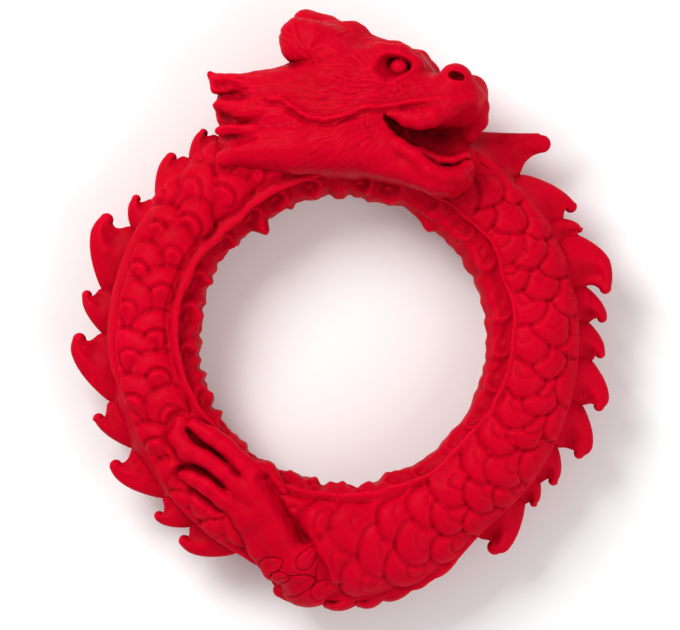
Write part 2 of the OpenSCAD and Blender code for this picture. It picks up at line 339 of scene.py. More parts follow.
# ---- the ring's skin ----
theta = np.arange(THETA_STEPS) * 360 / THETA_STEPS
phi = np.arange(-180, 180, PHI_STEP)
THETA = np.repeat(theta[:, None], len(phi), axis=1)
BEAD = along(BEAD_PATH, THETA) + 1.5 * ring_noise(THETA, 9, 12.5) + 0.9 * ring_noise(THETA, 3, 14.5)
RIDGE = along(RIDGE_PATH, THETA) + 2.2 * ring_noise(THETA, 6, 7.5) + 1.2 * ring_noise(THETA, 3, 9.5)


def follow_beads():
    """The angle round the section at each sample, moved so that samples follow the two beads."""
    size = np.abs(phi)[None, :]
    low = BEAD * size / BEAD_PHI
    middle = BEAD + (RIDGE - BEAD) * (size - BEAD_PHI) / (RIDGE_PHI - BEAD_PHI)
    high = RIDGE + (180 - RIDGE) * (size - RIDGE_PHI) / (180 - RIDGE_PHI)
    return np.sign(phi) * np.where(size < BEAD_PHI, low, np.where(size < RIDGE_PHI, middle, high))


PHI = follow_beads()


def swell(angle):
    """How much further out the body reaches over the haunches, in millimetres."""
    angle = turn(angle)
    return 2.3 * ramp(-50, -78, angle) * ramp(-110, -103, angle)


def ring_point(angle, around, section_r):
    """The point at that angle round the ring, angle round the section, and section radius."""
    a, p = np.radians(angle), np.radians(around)
    out = COIL_R + section_r * np.cos(p) + swell(angle) * np.clip(np.cos(p), 0, 1)
    parts = np.broadcast_arrays(out * np.cos(a), out * np.sin(a), section_r * np.sin(p))
    return np.stack(parts, axis=-1)


def scale_places():
    """Each scale's angle round the ring and its column, in the order that they are laid."""
    places = []
    for column in range(3):
        at = SCALE_FIRST + SCALE_PITCH / 2 * (column % 2)
        while at < SCALE_LAST:
            places.append((at, column))
            at += SCALE_PITCH + 1.6 * ramp(10, -10, flat_point(at, COIL_R)[0])
    return sorted(places)


def scale_relief(side):
    """The height of the overlapping scales, for the front (side 1) or the back (side -1)."""
    height = np.zeros(THETA.shape)
    for start, column in scale_places():
        shift, size, lift, inner, wander, slide = random.uniform(-1, 1, 6)
        ring_x, ring_y = flat_point(start, COIL_R)
        right = ramp(-6, 12, ring_x)
        flat = max(right, ramp(-10, -20, ring_y))
        across = SCALE_COLUMNS[column] + 4 * inner - (1 - right) * (3, 7, 5)[column]
        ring_r = COIL_R + BODY_R * math.cos(math.radians(across))
        at = start + 1.1 * slide
        large = 1 + 0.16 * (1 - right)
        half, tip = SCALE_HALF * large * (1 + 0.13 * size), SCALE_TIP * large * (1 + 0.12 * shift)
        # Only the samples near the scale are worked on
        rows = np.abs(turn(theta - at)) * DEG * ring_r < 7.5
        columns = np.abs(side * phi - across) < 46
        patch = np.ix_(rows, columns)
        y = -turn(THETA[patch] - at) * DEG * ring_r
        x = (side * PHI[patch] - across) * DEG * BODY_R
        x = x - 0.2 * wander * y
        wobble = 0.3 * noise(x / 1.9 + at, y / 1.9, column + side)
        d = np.hypot((x + wobble) / half, np.maximum(y + wobble, 0) / tip)
        # A shell: rounded at the rim, and low where the next scale covers it
        rim = np.clip(1 - d ** 2.9, 0, 1) ** 0.55
        tilt = 0.12 + 0.88 * ramp(-5.2, 0.4, y)
        h = (SCALE_HEIGHT - 0.3 * right + 0.12 * lift) * rim * tilt
        # Faint growth lines, clearer on the right half of the ring
        arc_y, arc_r = -1.3 + 0.4 * shift, 1.45 - 0.4 * right + 0.2 * lift
        arc_d = np.hypot(x + 0.7 * wobble, y - arc_y)
        front = ramp(-1.1, 0.3, y - arc_y)
        lined = (0.006 + 0.014 * right) * (1 + 0.6 * noise(x / 1.2, y / 1.2, at))
        lines = np.sin(arc_d * (8 + 1.2 * size) + 3 * shift + 2 * wobble)
        h = h + lined * lines * front * ramp(arc_r, arc_r + 0.4, arc_d) * rim
        # The inner arch: a low dome open at its foot with a crease ahead of it, and only a ring-shaped
        # crease where the scales are flat
        strength = (1 + 0.3 * slide) * (1 - 0.6 * right * ramp(0.6, -0.2, wander))
        dome = np.clip(1 - (arc_d / arc_r) ** 3, 0, 1) ** 0.6
        arch = (0.3 - 0.33 * flat) * dome * ramp(-1.6, 0.2, y - arc_y)
        arch = arch - 0.22 * (1 - right) * bump(np.hypot(x, (y - arc_y) / 1.3) / arc_r, 0.42)
        crease = (0.42 - 0.1 * flat) * bump(arc_d - arc_r - 0.12, 0.3) * (front + 0.4 * flat * (1 - front))
        h = h + (arch - crease) * strength
        # Cut a slit into what lies beneath, then lay the scale over it
        slit = 0.3 + 0.1 * right
        below = height[patch] - slit * ramp(1.2, 1.0, d) * ramp(-4.5, -2, y)
        height[patch] = np.maximum(below, np.where((y > -5.8) & (d < 1), h, -1))
    return height


def belly_relief():
    """The hollow belly skin: a channel by the ridge with hooked curls in it, and a wavy hole edge."""
    side_phi = np.abs(PHI)
    past = side_phi - RIDGE
    narrow = ramp(120, 130, RIDGE)
    right = ramp(5, 14, COIL_R * np.cos(np.radians(THETA)))
    channel = -(1.25 + 0.3 * right - 0.7 * narrow) * ramp(0, 9, past) * (1 - ramp(12, 36, past))
    edge = ramp(14, 38, past)
    waves = 0.4 * ring_noise(THETA, 6.5, 2.5) + 0.4 * ring_noise(THETA, 4.2, 6.5 + side_phi / 70)
    waves = (waves + 0.65 * ring_noise(THETA, 2.6, 9.5)) * (1 - 0.65 * right)
    height = channel + edge * (waves - 0.3 + 0.15 * ring_noise(THETA, 5, PHI / 12))
    for side in (1, -1):
        for i in range(CURL_COUNT):
            shift, size, twist = random.uniform(-1, 1, 3)
            at = (i + 0.2 * shift) * 360 / CURL_COUNT
            rows = np.abs(turn(theta - at)) < 9
            columns = (side * phi > 108) & (side * phi < 172)
            patch = np.ix_(rows, columns)
            y = -turn(THETA[patch] - at) * DEG * CURL_RING_R
            x = (CURL_PHI - side * PHI[patch] + RIDGE[patch]) * DEG * BODY_R
            x = x + 0.2 * noise(x / 1.4 + at, y / 1.4, 0.5)
            reach = CURL_R * (1 + 0.15 * size) * (1 - 0.35 * narrow[patch])
            d = np.hypot(x, y / 1.25) / reach
            # A comma: a raised rim ahead, a shadowed pit behind it, and a small bead in the pit
            facing = np.cos(np.arctan2(y, x) - 1.4 - 0.4 * twist)
            rim = 0.95 * bump(d - 1.1, 0.44) * ramp(-0.6, 0.4, facing)
            pit = 0.5 * np.exp(-(np.hypot(x + 0.1, y / 1.3 + 0.35) / 1.0) ** 4)
            bead = 0.8 * bump(np.hypot(x + 0.1, (y + 0.1) / 1.5), 0.45)
            height[patch] += (rim + bead - pit) * (1 - 0.5 * narrow[patch]) * (1 - 0.3 * right[patch])
    # Two small tabs of skin that reach into the hole
    for angle, out in TABS:
        ahead = turn(angle - THETA) * DEG * HOLE_R
        spread = np.where(ahead > 0, 0.6, 1.8)
        height = height + out * np.exp(-(ahead / spread) ** 2) * bump(np.abs(PHI) - 164, 9)
    return height


def skin_radius():
    """The section radius over the whole ring, relief and all."""
    side_phi = np.abs(PHI)
    # Where the fins' bead is a wide band, where the belly ridge is broad, and where scales may lie
    band = along([(-166, 0), (-175, 1), (-205, 1), (-213, 0)], THETA)
    broad = ramp(60, 110, THETA) * ramp(215, 165, THETA)
    flank = ramp(BEAD + 1.5 + 7 * band, BEAD + 4 + 7 * band, side_phi)
    flank *= 1 - ramp(RIDGE - 6 - 4 * broad, RIDGE - 2.5 - 4 * broad, side_phi)
    scales = np.where(PHI > 0, scale_relief(1), scale_relief(-1))
    places = ring_point(THETA, PHI, np.full_like(THETA, BODY_R))
    x, y = places[..., 0], places[..., 1]
    scales = scales * ramp(-0.1, 0.9, leg_cover(x, y))
    # No scales by the first fin and under the head, only soft lumps
    bare = ramp(45, 54, THETA + 0.35 * (58 - side_phi)) * ramp(112, 104, THETA)
    lumps = 0.5 + 0.3 * noise(x / 2.4, y / 2.4, 4.5)
    hidden = ramp(63, 71, THETA) * ramp(102, 94, THETA)
    radius = BODY_R - 0.25 + (scales * (1 - bare) + lumps * bare - 1.2 * hidden) * flank
    radius += 0.09 * ring_noise(THETA, 7, 3.3 + PHI / 24) * flank
    # The shadowed hollows beside the toes and the forearm
    for line in TOE_GROOVES:
        radius -= 0.95 * bump(line_distance(x, y, line), 0.5)
    radius -= 1.2 * bump(line_distance(x, y, ARM_HOLLOW), 1.5)
    # The belly ridge: a thin wavy bead, broader on the upper left, with a crease beside it
    ridge_width = 3.6 + 3 * broad + 0.6 * ring_noise(THETA, 5, 16.5)
    ridge = 0.85 + 0.12 * ring_noise(THETA, 6, 18.5)
    radius += ridge * np.exp(-np.abs((side_phi - RIDGE) / ridge_width) ** 2.2)
    radius -= 0.6 * broad * bump(side_phi - RIDGE + 11, 4)
    # The bead that the fins come out from under: a clear wide band on the left
    bead_width = 3.2 + 7 * band
    bead = 0.5 + 0.35 * band - 0.5 * along([(-212, 0), (-225, 1), (40, 1), (28, 0)], THETA)
    bead += 0.6 * along([(-58, 0), (-66, 1), (-108, 1), (-116, 0.4), (-152, 0)], THETA)
    radius += bead * np.exp(-np.abs((side_phi - BEAD) / bead_width) ** 4)
    # Belly: follow the round hole, then add the hollow and its curls
    inside = ramp(RIDGE + 1, RIDGE + 5, side_phi)
    straight = (COIL_R - HOLE_R) / np.maximum(-np.cos(np.radians(PHI)), 0.3)
    radius = np.where(side_phi > 120, np.minimum(radius, straight), radius)
    radius += inside * belly_relief()
    # Crest: a step down outside the bead, which the fins grow from
    inner_edge = BEAD - 2 - 8 * band
    step = (0.3 + 0.9 * band) * (1 - ramp(inner_edge - 5, inner_edge, side_phi))
    step *= 1 - ramp(40, 48, THETA) * ramp(115, 105, THETA)
    radius = np.maximum(radius - step * (1 - 0.8 * ramp(12, 4, side_phi)), CORE_R + 0.15)
    # Soft moulded edges: each sample moves towards the mean of its neighbours
    for _ in range(2):
        for axis in (0, 1):
            radius = 0.5 * radius + 0.25 * (np.roll(radius, 1, axis) + np.roll(radius, -1, axis))
    return radius


SKIN = skin_radius()
STRIP_MARGIN, STRIP_DIP = 5.2, 1.6      # how many degrees a strip's edges run on, and how fast they dip


def skin_strip(name, start, end, nodes):
    """One closed band of the skin, from phi start to end. Its edges dip under its neighbours."""
    columns = np.where((phi > start - STRIP_MARGIN) & (phi < end + STRIP_MARGIN))[0]
    if end > 180:
        columns = np.r_[columns, np.where(phi < end - 360 + STRIP_MARGIN)[0]]
    even = phi[columns]
    wraps = 360 * (even < start - STRIP_MARGIN)
    beyond = np.maximum(np.maximum(start - even - wraps, even + wraps - end), 0)
    dip = STRIP_DIP * (np.radians(beyond) * BODY_R) ** 2
    around = PHI[:, columns] + wraps
    surface = ring_point(THETA[:, columns], around, SKIN[:, columns] - dip)
    share = np.linspace(0, 1, max(4, len(columns) // 6))[None, :]
    inner_around = around[:, -1:] + (around[:, :1] - around[:, -1:]) * share
    inner = ring_point(theta[:, None], inner_around, np.full((1, 1), CORE_R - 0.2))
    points = np.concatenate([surface, inner], axis=1)
    add_piece(name, points.reshape(-1, 3), tube_faces(len(theta), points.shape[1]), nodes)


skin_strip("dorsal_crest", -BEAD_PHI, BEAD_PHI, ["dorsal_crest"])
skin_strip("belly_band", RIDGE_PHI + 5, 355 - RIDGE_PHI, ["belly_band"])
for side_name, side in (("front", 1), ("back", -1)):
    edges = [RIDGE_PHI - 5, 82, 54, BEAD_PHI]
    for i in range(3):
        low, high = sorted((side * edges[i], side * edges[i + 1]))
        node_name = f"flank_scales_{i + 1}_{side_name}"
        skin_strip(node_name, low, high, [node_name])
    low, high = sorted((side * (RIDGE_PHI - 5), side * (RIDGE_PHI + 5)))
    skin_strip(f"belly_ridge_{side_name}", low, high, [f"belly_ridge_{side_name}"])

# The core is hidden under the skin, so its samples are coarse
core_around = np.arange(0, 360, 9.0)
core_theta = np.arange(0, 360, 2.0)
core = ring_point(core_theta[:, None], core_around[None, :], np.full((1, 1), CORE_R))
add_piece("body_core", core.reshape(-1, 3), tube_faces(len(core_theta), len(core_around)), ["body_core"])

# ---- fins ----
FIN_ROWS, TIP_ROWS, FIN_WIDTH = 46, 7, 32      # rows along a fin, rows round its tip, points across
FIN_ROOT_R = 30.6                              # how deep in the body the fins start
# Each fin, clockwise from under the jaw: where it leaves the crest, its outermost point, its tip
# and the notch behind it, each as an angle round the ring and a radius.
FINS = [
    [(57, 33.4), (46.5, 38.3), (42.7, 37.55), (43.9, 33.7)],
    [(42, 33.2), (31, 36.2), (29, 35.5), (29, 34)],
    [(28.5, 34.1), (25.4, 35.4), (24.3, 35.1), (24, 34.7)],
    [(24, 34.7), (16.5, 37.5), (9.9, 36), (12.3, 33.5)],
    [(12, 33.7), (5.5, 35.7), (3.8, 35), (4, 33.3)],
    [(3.5, 33.5), (-2.3, 35.3), (-4.1, 34.7), (-4.7, 33.8)],
    [(-5, 33.8), (-12.5, 36.7), (-15.6, 35.6), (-15, 33.8)],
    [(-16, 33.9), (-23.5, 36.6), (-26.8, 35.3), (-26, 33.1)],
    [(-27.5, 32.9), (-33, 34.6), (-34.8, 34.1), (-36, 32.9)],
    [(-36, 32.9), (-40, 34.2), (-41.3, 33.8), (-42, 33.1)],
    [(-42, 33.1), (-52, 36), (-55.3, 34.6), (-55, 32.8)],
    [(-60, 32.6), (-67.5, 34.5), (-71.5, 33.5), (-71.6, 32.7)],
    [(-68, 33.8), (-73, 35.1), (-75.8, 34.1), (-75.9, 33.2)],
    [(-73.5, 34.6), (-79, 35.85), (-82.2, 34.8), (-82.3, 33.9)],
    [(-80.5, 35.2), (-84.5, 36.35), (-87.4, 35.3), (-87.5, 34.2)],
    [(-86, 35.4), (-91, 36.5), (-94.4, 35.45), (-94.5, 34.3)],
    [(-93.5, 35.4), (-98, 36.2), (-105.5, 34.7), (-109.5, 32.6)],
    [(-117.5, 32.7), (-126, 35.3), (-129.4, 34.4), (-129, 32.8)],
    [(-130, 33), (-135.7, 34.9), (-137.2, 34.2), (-138.5, 32.4)],
    [(-139, 32.5), (-149, 35.8), (-152.2, 34.9), (-152.5, 32.1)],
    [(-153, 32.1), (-161.7, 35.1), (-163.2, 34.5), (-164.7, 32.9)],
    [(-166, 32.9), (-177.5, 36.6), (-181.4, 35.4), (-181, 33.1)],
    [(-182.5, 33), (-189, 35.5), (-190.9, 34.9), (-191.7, 33.5)],
    [(-192.5, 33.5), (-203.5, 36.9), (-208.3, 35.6), (-207.7, 32.8)],
    [(-209, 32.9), (-213.3, 34.1), (-215.2, 33.6), (-216, 32.2)],
    [(-218, 32.1), (-225.3, 34.3), (-227.8, 33.6), (-229, 32.8)],
    [(-230.5, 32.5), (-235.5, 34), (-236.9, 33.5), (-238, 32.6)]
]

# What sets some fins apart: how far the outer edge bows, how wide the tip is, how far the tip turns
# outwards, how deep the notch cuts in under it, how thickly the fin runs into the body, and how thick
# it is by the tip (bulge, blunt, turned, hook, fillet and end)
FIN_TRAITS = {1: {"bulge": 0.4, "blunt": 1.2, "turned": 46, "hook": 0.8, "fillet": 2.2}, 2: {"fillet": 1.6},
              3: {"fillet": 0.8}, 4: {"hook": 0.5}, 11: {"blunt": 1.05, "hook": 0.0}, 20: {"hook": 0.6},
              22: {"hook": 0.6}, 24: {"hook": 1.4}, 25: {"fillet": 0.6}, 26: {"fillet": 0.8},
              27: {"fillet": 0.8}}
# The low lobes along the haunches
FIN_TRAITS.update({number: {"blunt": 0.8, "hook": 0.0, "end": 1.9} for number in range(12, 17)})


def curve(a, b, c, t):
    """The quadratic curve from a to c that b pulls on."""
    a, b, c, t = np.array(a), np.array(b), np.array(c), np.asarray(t)[:, None]
    return a * (1 - t) ** 2 + 2 * b * t * (1 - t) + c * t ** 2


def evenly(line, count):
    """The same line with its points spread evenly along it."""
    gone = np.r_[0, np.cumsum(np.linalg.norm(np.diff(line, axis=0), axis=1))]
    want = np.linspace(0, gone[-1], count)
    return np.stack([np.interp(want, gone, line[:, k]) for k in (0, 1)], -1)


def fin_edges(start, peak, tip, notch, bulge, blunt, turned, hook):
    """A fin's outer and inner edge, as points from its root to where the round tip begins."""
    t = np.linspace(0, 1, 24)
    s_angle, s_r = start
    root_r = min(FIN_ROOT_R + swell(0.5 * (s_angle + notch[0])), notch[1] - 1.2)
    blunt = blunt or 0.34 + 0.04 * (s_angle - notch[0])
    tip_angle = tip[0] + blunt * 1.5
    centre = np.array(flat_point(tip_angle, tip[1]))
    across = np.array(flat_point(tip_angle + turned, blunt))
    inner_end = centre - across
    inner_angle = notch[0] + turn(math.degrees(math.atan2(inner_end[1], inner_end[0])) - notch[0])
    bow = flat_point(0.42 * s_angle + 0.58 * peak[0], s_r + bulge * (peak[1] - s_r) + 0.35)
    under = flat_point(max(notch[0], inner_angle) + hook, 0.5 * (notch[1] + tip[1]) - 0.3)
    outer = np.concatenate([
        curve(flat_point(s_angle + 3.5, root_r), flat_point(s_angle + 1.6, s_r - 0.9),
              flat_point(*start), t[::3]),
        curve(flat_point(*start), bow, flat_point(*peak), t)[1:],
        curve(flat_point(*peak), flat_point(0.45 * peak[0] + 0.55 * tip_angle, peak[1] + 0.05),
              centre + across, t)[1:]])
    inner = np.concatenate([
        curve(flat_point(notch[0] - 1.8, root_r), flat_point(notch[0] - 1.0, notch[1] - 0.9),
              flat_point(*notch), t[::3]),
        curve(flat_point(*notch), under, inner_end, t)[1:]])
    return evenly(outer, FIN_ROWS), evenly(inner, FIN_ROWS)


def fin_grid(number, shape, bulge=0.78, blunt=None, turned=0, hook=0.1, fillet=0.0, end=1.25):
    """Rows of points round a fluted flame: thick at the root, hollow by the notch, blunt at the tip."""
    outer, inner = fin_edges(*shape, bulge, blunt, turned, hook)
    middle, half = (outer + inner) / 2, (outer - inner) / 2
    # A few more rows round the tip off
    size = np.linalg.norm(half[-1])
    forward = np.array([half[-1][1], -half[-1][0]]) / size
    turns = np.radians(np.linspace(0, 84, TIP_ROWS + 1))[1:, None]
    middle = np.vstack([middle, middle[-1] + forward * size * np.sin(turns)])
    half = np.vstack([half, half[-1] * np.cos(turns)])
    s = np.r_[np.linspace(0, 1, FIN_ROWS), np.ones(TIP_ROWS)][:, None]
    w = np.sin(np.radians(np.linspace(-88, 88, FIN_WIDTH)))[None, :]
    xy = middle[:, None, :] + half[:, None, :] * w[..., None]
    length = np.linalg.norm(middle[-1] - middle[0])
    broad = min(1.0, length / 8)
    right = ramp(-8, 12, middle[0, 0])
    upper_left = ramp(-6, -14, middle[0, 0]) * ramp(14, 20, middle[0, 1])
    root = 1.6 + 1.5 * right + 0.6 * upper_left
    thick = root + (end - root) * ramp(-0.1, 0.65, s) - 0.3 * ramp(0.6, 1, s)
    edge = np.clip(1 - np.abs(w) ** 1.9, 0, 1) ** 0.62
    round_off = np.r_[np.ones(FIN_ROWS), np.cos(turns[:, 0])][:, None]
    wavy = 2.6 * w + 0.5 * noise(3 * s + number, 2 * w, number)
    flutes = 0.12 * broad * np.cos(2.1 * wavy + number) * ramp(0.2, 0.5, s) * (1 - ramp(0.8, 1, s))
    hollow = (0.45 + 0.1 * right) * bump(w + 0.4, 0.55) * bump(s - 0.6, 0.27)
    fillet = fillet * np.exp(-np.maximum(np.hypot(xy[..., 0], xy[..., 1]) - 31, 0) / 0.9)
    face = (thick * (1 - hollow) + flutes + fillet) * edge * round_off
    face += 0.07 * noise(xy[..., 0] / 1.1, xy[..., 1] / 1.1, number) * edge
    strands = noise(5.5 * w + 0.4 * np.sin(3 * s), 1.5 * s, number + 0.5)
    face += 0.07 * broad * strands * edge * ramp(0.15, 0.4, s) * (1 - ramp(0.85, 1, s))
    lean = 0.25 * math.sin(number * 2.1) * s
    top = np.concatenate([xy, (lean + face)[..., None]], axis=-1)
    bottom = np.concatenate([xy, (lean - face)[..., None]], axis=-1)[:, ::-1]
    return np.concatenate([top, bottom], axis=1)


def add_fin(number, shape, traits):
    """Closes a fin's rows of points into a mesh: the ends are zipped across from front to back."""
    loop = fin_grid(number, shape, **traits)
    rows, count = loop.shape[:2]
    i, j = np.meshgrid(np.arange(rows - 1), np.arange(count), indexing="ij")
    j2 = (j + 1) % count
    corners = ((i, j), (i + 1, j), (i + 1, j2), (i, j2))
    sides = np.stack([a * count + b for a, b in corners], -1).reshape(-1, 4)
    k = np.arange(FIN_WIDTH - 1)
    zip_root = np.stack([k, k + 1, count - 2 - k, count - 1 - k], -1)
    zip_tip = zip_root[:, ::-1] + (rows - 1) * count
    name = f"dorsal_fin_{number:02d}"
    add_piece(name, loop.reshape(-1, 3), np.concatenate([sides, zip_root, zip_tip]), [name])


for number, shape in enumerate(FINS, 1):
    add_fin(number, shape, FIN_TRAITS.get(number, {}))


# ---- meshes from fields ----
def field_mesh(value, low, step):
    """Points and quads round the region of a grid where value is below 0."""
    inside = value < 0
    corners = [np.array(c) for c in np.ndindex(2, 2, 2)]
    shape = np.array(value.shape) - 1
    part = [inside[c[0]:c[0] + shape[0], c[1]:c[1] + shape[1], c[2]:c[2] + shape[2]] for c in corners]
    count = sum(q.astype(np.int8) for q in part)
    active = (count > 0) & (count < 8)
    index = np.full(active.shape, -1, dtype=np.int32)
    cells = np.argwhere(active)
    index[active] = np.arange(len(cells))
    total = np.zeros((len(cells), 3))
    hits = np.zeros(len(cells))
    for a in corners:
        for axis in np.where(a == 0)[0]:
            b = a.copy()
            b[axis] = 1
            va, vb = value[tuple((cells + a).T)], value[tuple((cells + b).T)]
            crossed = (va < 0) != (vb < 0)
            t = np.where(crossed, va / np.where(crossed, va - vb, 1), 0)
            total += np.where(crossed[:, None], a + t[:, None] * (b - a), 0)
            hits += crossed
    points = low + step * (cells + total / hits[:, None])
    faces = []
    for axis in range(3):
        u, v = [np.eye(3, dtype=int)[k] for k in ((axis + 1) % 3, (axis + 2) % 3)]
        first = np.take(inside, range(inside.shape[axis] - 1), axis)
        second = np.take(inside, range(1, inside.shape[axis]), axis)
        for before, after, order in ((first, ~second, (0, 1, 2, 3)), (~first, second, (3, 2, 1, 0))):
            edge = np.argwhere(before & after)
            edge = edge[((edge - u - v) >= 0).all(1) & (edge < shape).all(1)]
            ring = [index[tuple((edge - s).T)] for s in (u + v, v, 0 * u, u)]
            faces.append(np.stack([ring[k] for k in order], axis=-1))
    return points, np.concatenate(faces)


def point_normals(points, faces):
    """A unit normal at each point of a quad mesh."""
    normal = np.cross(points[faces[:, 2]] - points[faces[:, 0]], points[faces[:, 3]] - points[faces[:, 1]])
    total = np.zeros_like(points)
    for k in range(4):
        for axis in range(3):
            total[:, axis] += np.bincount(faces[:, k], normal[:, axis], len(points))
    return total / np.maximum(np.linalg.norm(total, axis=1, keepdims=True), 1e-9)


PIECE_DIP = 0.8     # how fast a piece dips under its neighbours, past where they meet


def split_pieces(whole, groups, low, step, place, detail):
    """Cuts one smooth field into a closed piece for each group, each ending under its neighbours."""
    for name, own in groups.items():
        others = None
        for other, value in groups.items():
            if other != name:
                others = value if others is None else np.minimum(others, value)
        over = np.maximum(own - others, 0)
        piece = whole + PIECE_DIP * over ** 2
        piece = np.pad(piece, 1, constant_values=1.0)
        points, faces = field_mesh(piece, np.array(low) - step, step)
        points = points + point_normals(points, faces) * detail(points)[:, None]
        add_piece(name, place(points), faces, [name])


# ---- head, in its own frame: x to the snout, y to the crown, z to the near side ----
HEAD_STEP = 0.175
HEAD_LOW, HEAD_HIGH = (-11.5, -13, -10.5), (30, 16.5, 10.5)
HEAD_POS = np.array([-8, 30, 2])
HEAD_YAW, HEAD_ROLL = math.radians(15), math.radians(8)

# Stations x, y, z and radius. In the wide parts, z is how far they reach to each side.
SKULL_TOP = [(-4.8, 0.9, 3.3, 3.8), (2, 1.9, 2.4, 4.6), (8, 4.6, 2.2, 5.2), (13, 4.6, 2.2, 4.5),
             (16.5, 4, 2.2, 3.3)]
JOWL = [(-4.4, -4.0, 4, 3.3), (3, -4.2, 3.7, 4.1), (10, -4.3, 3.5, 4.1), (15, -5.0, 2.9, 3.4)]
CHEEK = [(3, 0.2, 3.4, 3.6), (9, 0, 3.2, 3.6), (13, -0.2, 3.2, 3.1), (14.9, -0.4, 3.2, 2.5)]
MUZZLE = [(15, 3, 2.3, 3.4), (19, 2.2, 2.1, 3.1), (23, 2.3, 1.8, 2.8), (25.2, 2.3, 1.4, 2.5)]
PALATE = [(20, 0.6, 3, 2.4), (24, 0.9, 2.8, 2.1), (25.4, 1.3, 2.2, 2.0)]
NEAR_LIP = [(16.4, -0.1, 4.6, 0.9), (18.5, -1.1, 4.7, 1.2), (20.2, -1.35, 4.7, 1.3), (21.8, -0.95, 4.4, 1.3),
            (23.6, 0.2, 3.6, 1.2), (25.4, 1.6, 2.6, 1.2), (26.4, 2.5, 0.8, 1.3)]
NEAR_CHOP = [(17, 0.4, 4.2, 0.8), (19.5, 0.1, 4.3, 1.0), (22, 0.5, 3.9, 1.1)]
FAR_LIP = [(15.4, -1, -4.2, 1.0), (19, -2, -4.4, 1.2), (22, -2.4, -4.4, 1.4), (24.6, -1.6, -4, 1.5),
           (26.2, -0.2, -3, 1.4), (26.8, 1.4, -1.4, 1.4)]
LOWER_JAW = [(13.5, -5.8, 3, 2.9), (18.5, -7.4, 2.8, 2.2), (21.6, -8.9, 2.3, 1.9), (23.3, -9, 1.8, 1.8),
             (24.5, -8.6, 1, 1.6)]
LOWER_LIP = [(15, -3.5, 4.6, 0.9), (17.4, -4.7, 4.8, 1), (19.6, -6.0, 4.6, 0.95), (21.6, -8, 4, 0.9),
             (23.5, -8.7, 3.2, 0.9), (25.1, -8.4, 2, 0.9), (25.9, -6.9, 0.5, 0.8)]
TONGUE = [(16.5, -4.2, 0.5, 0.7), (19.5, -5.1, 1.2, 0.7), (22.2, -6.3, 1.6, 0.6), (24.2, -6.3, 1.3, 0.55),
          (25.6, -5.5, 0.7, 0.5)]
FAR_WALL = [(14.8, -2, -3.4, 3), (18.5, -3.6, -4.8, 3.2), (21.5, -4.6, -5.4, 3.4), (23.2, -5.4, -5.6, 2.8)]
MOUTH = [(15.6, -1.3, 1.8, 0.3), (16.6, -2.1, 2.4, 0.6), (18, -3.1, 2.9, 1.0), (20, -4.1, 3, 1.5),
         (22.5, -4.6, 3, 2.0), (25, -3.7, 3, 2.9), (28.5, -3.2, 3, 3.8)]
CROWN = [(3.5, 9.9, 0.8, 2), (6.5, 10.8, 0.9, 2), (9.3, 10.7, 0.9, 2), (11.3, 9.2, 1, 1.7),
         (13.4, 8.5, 1.2, 1.7), (15.6, 8.2, 1.2, 1.75), (17.8, 7.1, 1.1, 1.6), (19.2, 5.8, 1, 1.3)]
BROW = [(12, 7.2, 3.7, 1.4), (14.6, 7.9, 4, 1.4), (17, 7.9, 3.8, 1.2), (19, 6.5, 3.2, 1.1)]
FAR_BROW = [(12.5, 7.6, -3, 1.6), (15, 8.4, -3.4, 1.6), (17.6, 8, -3.6, 1.5), (19.4, 6.4, -3.2, 1.3)]
NEAR_EAR = [(9, 9.2, 3, 1.5), (7, 9.6, 3.7, 2), (4.9, 10, 4.2, 2.3), (2.95, 10.1, 4.1, 2.65)]
EAR_LOBE = [(2.9, 8.4, 4.5, 2.1), (5, 8, 4.9, 1.7), (7.6, 8.1, 4.6, 1.4)]
EAR_CREASE = [(1, 6.6), (3.2, 6.2), (6, 6.3), (8, 7)]
FAR_EAR = [(8, 10.4, -2.6, 2.2), (4.5, 12, -3, 2.2), (1.7, 13.4, -3.3, 1.75)]
MANE = [
    [(1, 2.5, 4.4, 2.5), (-3, 2.5, 5, 2.2), (-5.6, 3, 5.4, 2), (-7.3, 3.4, 5.3, 1.6), (-8.9, 4.9, 5.2, 0.5)],
    [(1, 0, 5.4, 2.4), (-3.4, 0, 6.3, 1.9), (-6.5, 0.1, 6.5, 1.6)],
    [(-2.4, -2.8, 7.2, 0.7), (-4.6, -3.0, 7.5, 1.1), (-6.5, -3.4, 7.3, 1.1)],
    [(3, -5.2, 5.6, 2.4), (-1, -5.4, 6, 2.1), (-4, -5.8, 6.2, 1.7), (-6.3, -6.7, 6.2, 1.1)]
]
MANE_CREASES = [[(-8.3, 1.7), (-6, 1.9), (-3, 1.5)], [(-7.6, 3.4), (-5.8, 3.5), (-3.4, 2.4)],
                [(-7.8, -1.9), (-5.8, -1.5), (-3.5, -1.9), (-1, -1.6)],
                [(-7, -5), (-4.4, -4.9), (-1.8, -4.2)]]
# Dark hollows in the mane: x, y, lean, half length, half width
MANE_HOLLOWS = [(-5.8, 2.5, -24, 2.3, 0.8), (-6.6, -0.7, -30, 1.2, 0.75), (-5.6, -3.8, 4, 2.2, 0.75)]
CHEEK_LINE = [(0.2, 1.2), (1.8, 1.2), (3.3, 0.1), (5.4, -1.2), (7.8, -1.6), (10.4, -0.9), (13, 0.2),
              (15.4, 0.4), (18, 0.9), (20.5, 1.3), (23.4, 1.6)]
EYE, EYE_TILT = (16.7, 5.9), 16     # the middle of the socket, and its tilt
EYE_SIDE, EYE_R = 3.85, 1.2         # how far out to the side each eyeball sits, and its radius
NOSTRIL = (24.9, 4.7)


